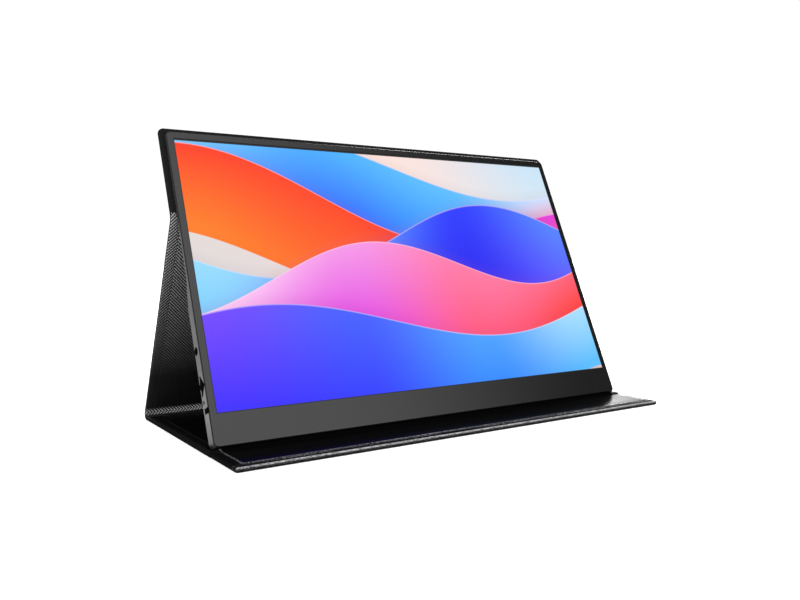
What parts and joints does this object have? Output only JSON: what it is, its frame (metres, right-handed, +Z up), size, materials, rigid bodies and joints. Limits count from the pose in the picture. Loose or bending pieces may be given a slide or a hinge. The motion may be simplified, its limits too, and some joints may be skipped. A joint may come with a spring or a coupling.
{
  "type": "portable monitor",
  "caption": "Thin portable monitor leaning in the seat groove of its folding magnetic cover, with side sockets, control dial, power button and front flap.",
  "frame": {"origin": "on the table, at the middle of the footprint of the opened cover", "axes": "+X along the screen's width, to the viewer's right; +Y away from the viewer; +Z up"},
  "size_m": [0.3608, 0.1718, 0.209],
  "materials": {
    "casing_front": "satin",
    "casing_back": "satin",
    "screen_glass": "lit, gloss",
    "optical_film": "translucent white",
    "light_guide_acrylic": "clear",
    "led_white": "white and pale yellow",
    "panel_steel": "plain sheet",
    "foam_tape": "matt foam",
    "circuit_board": "green solder mask",
    "ribbon": "amber film",
    "chip_black": "matt moulded",
    "spreader_aluminium": "plain sheet",
    "socket_steel": "plated shell",
    "socket_plastic": "moulded",
    "dial_plastic": "moulded",
    "button_plastic": "moulded",
    "speaker_plastic": "moulded",
    "lead_sheath": "smooth",
    "screw_steel": "blackened",
    "cover_board": "pressed board",
    "cover_skin": "fine black grain",
    "smooth_lining": "smooth black",
    "twill_lining": "embossed diagonal weave",
    "magnet_nickel": "nickel plated"
  },
  "bodies": {
    "base": {"base_board": "cover_board", "base_skin": "cover_skin", "base_lining": "smooth_lining", "base_binding": "cover_skin", "seat_lip_strip": "cover_board", "spine_board": "cover_board", "spine_lining": "twill_lining", "rear_fold_strip": "cover_skin", "crease_strip": "cover_skin"},
    "leg": {"leg_board": "cover_board", "leg_skin": "cover_skin", "leg_lining": "twill_lining", "leg_binding": "cover_skin", "mid_fold_strip": "cover_skin"},
    "upper_cover": {"upper_board": "cover_board", "upper_skin": "cover_skin", "upper_lining": "smooth_lining", "upper_binding": "cover_skin", "upper_magnets": "magnet_nickel"},
    "front_flap": {"flap_board": "cover_board", "flap_skin": "cover_skin", "flap_lining": "smooth_lining", "flap_binding": "cover_skin", "flap_magnets": "magnet_nickel"},
    "dial_carrier": {"dial_carrier": "dial_plastic"},
    "dial_wheel": {"dial_wheel": "dial_plastic"},
    "power_button": {"power_button": "button_plastic"},
    "monitor": {"front_bezel": "casing_front", "rear_shell": "casing_back", "display_cell": "screen_glass", "prism_film": "optical_film", "diffuser_film": "optical_film", "reflector_film": "optical_film", "light_guide": "light_guide_acrylic", "status_light_pipe": "light_guide_acrylic", "led_strip": "led_white", "panel_frame": "panel_steel", "steel_plates": "panel_steel", "panel_tape": "foam_tape", "main_board": "circuit_board", "side_board": "circuit_board", "timing_board": "circuit_board", "panel_flex": "ribbon", "display_cable": "ribbon", "link_cable": "ribbon", "board_chips": "chip_black", "heat_spreader": "spreader_aluminium", "usb_c_sockets": "socket_steel", "mini_hdmi_socket": "socket_steel", "audio_jack": "socket_plastic", "dial_switch": "socket_plastic", "power_switch": "socket_plastic", "left_speaker": "speaker_plastic", "right_speaker": "speaker_plastic", "speaker_leads": "lead_sheath", "board_screws": "screw_steel", "casing_screws": "screw_steel"}
  },
  "joints": [
    {"name": "rear_fold", "type": "hinge", "parent": "base", "child": "leg", "pos_m": [0, 0.08508, 0.00196], "axis": [1, 0, 0], "range_deg": [-111.5, 0], "deforming": ["rear_fold_strip"]},
    {"name": "mid_fold", "type": "hinge", "parent": "leg", "child": "upper_cover", "pos_m": [0, 0.02389, 0.14521], "axis": [1, 0, 0], "range_deg": [0, 42], "deforming": ["mid_fold_strip"]},
    {"name": "monitor_release", "type": "slide", "parent": "upper_cover", "child": "monitor", "axis": [0, 0, 1], "range_m": [0, 0.23]},
    {"name": "front_fold", "type": "hinge", "parent": "base", "child": "front_flap", "pos_m": [0, -0.04771, 0.0008], "axis": [-1, 0, 0], "range_deg": [0, 80], "deforming": ["crease_strip"]},
    {"name": "dial_press", "type": "slide", "parent": "monitor", "child": "dial_carrier", "axis": [1, 0, 0], "range_m": [0, 0.0005], "stiffness_N_per_m": 100, "springref_m": -0.001},
    {"name": "dial_turn", "type": "hinge", "parent": "dial_carrier", "child": "dial_wheel", "pos_m": [-0.1683, -0.0232, 0.03926], "axis": [0, -0.9153, 0.4027], "range_deg": [-12, 12], "stiffness_Nm_per_rad": 0.002},
    {"name": "power_press", "type": "slide", "parent": "monitor", "child": "power_button", "axis": [1, 0, 0], "range_m": [0, 0.0004], "stiffness_N_per_m": 100, "springref_m": -0.001}
  ],
  "couplings": [
    {"joint": "mid_fold", "follows": "rear_fold", "ratio": -0.37668}
  ]
}
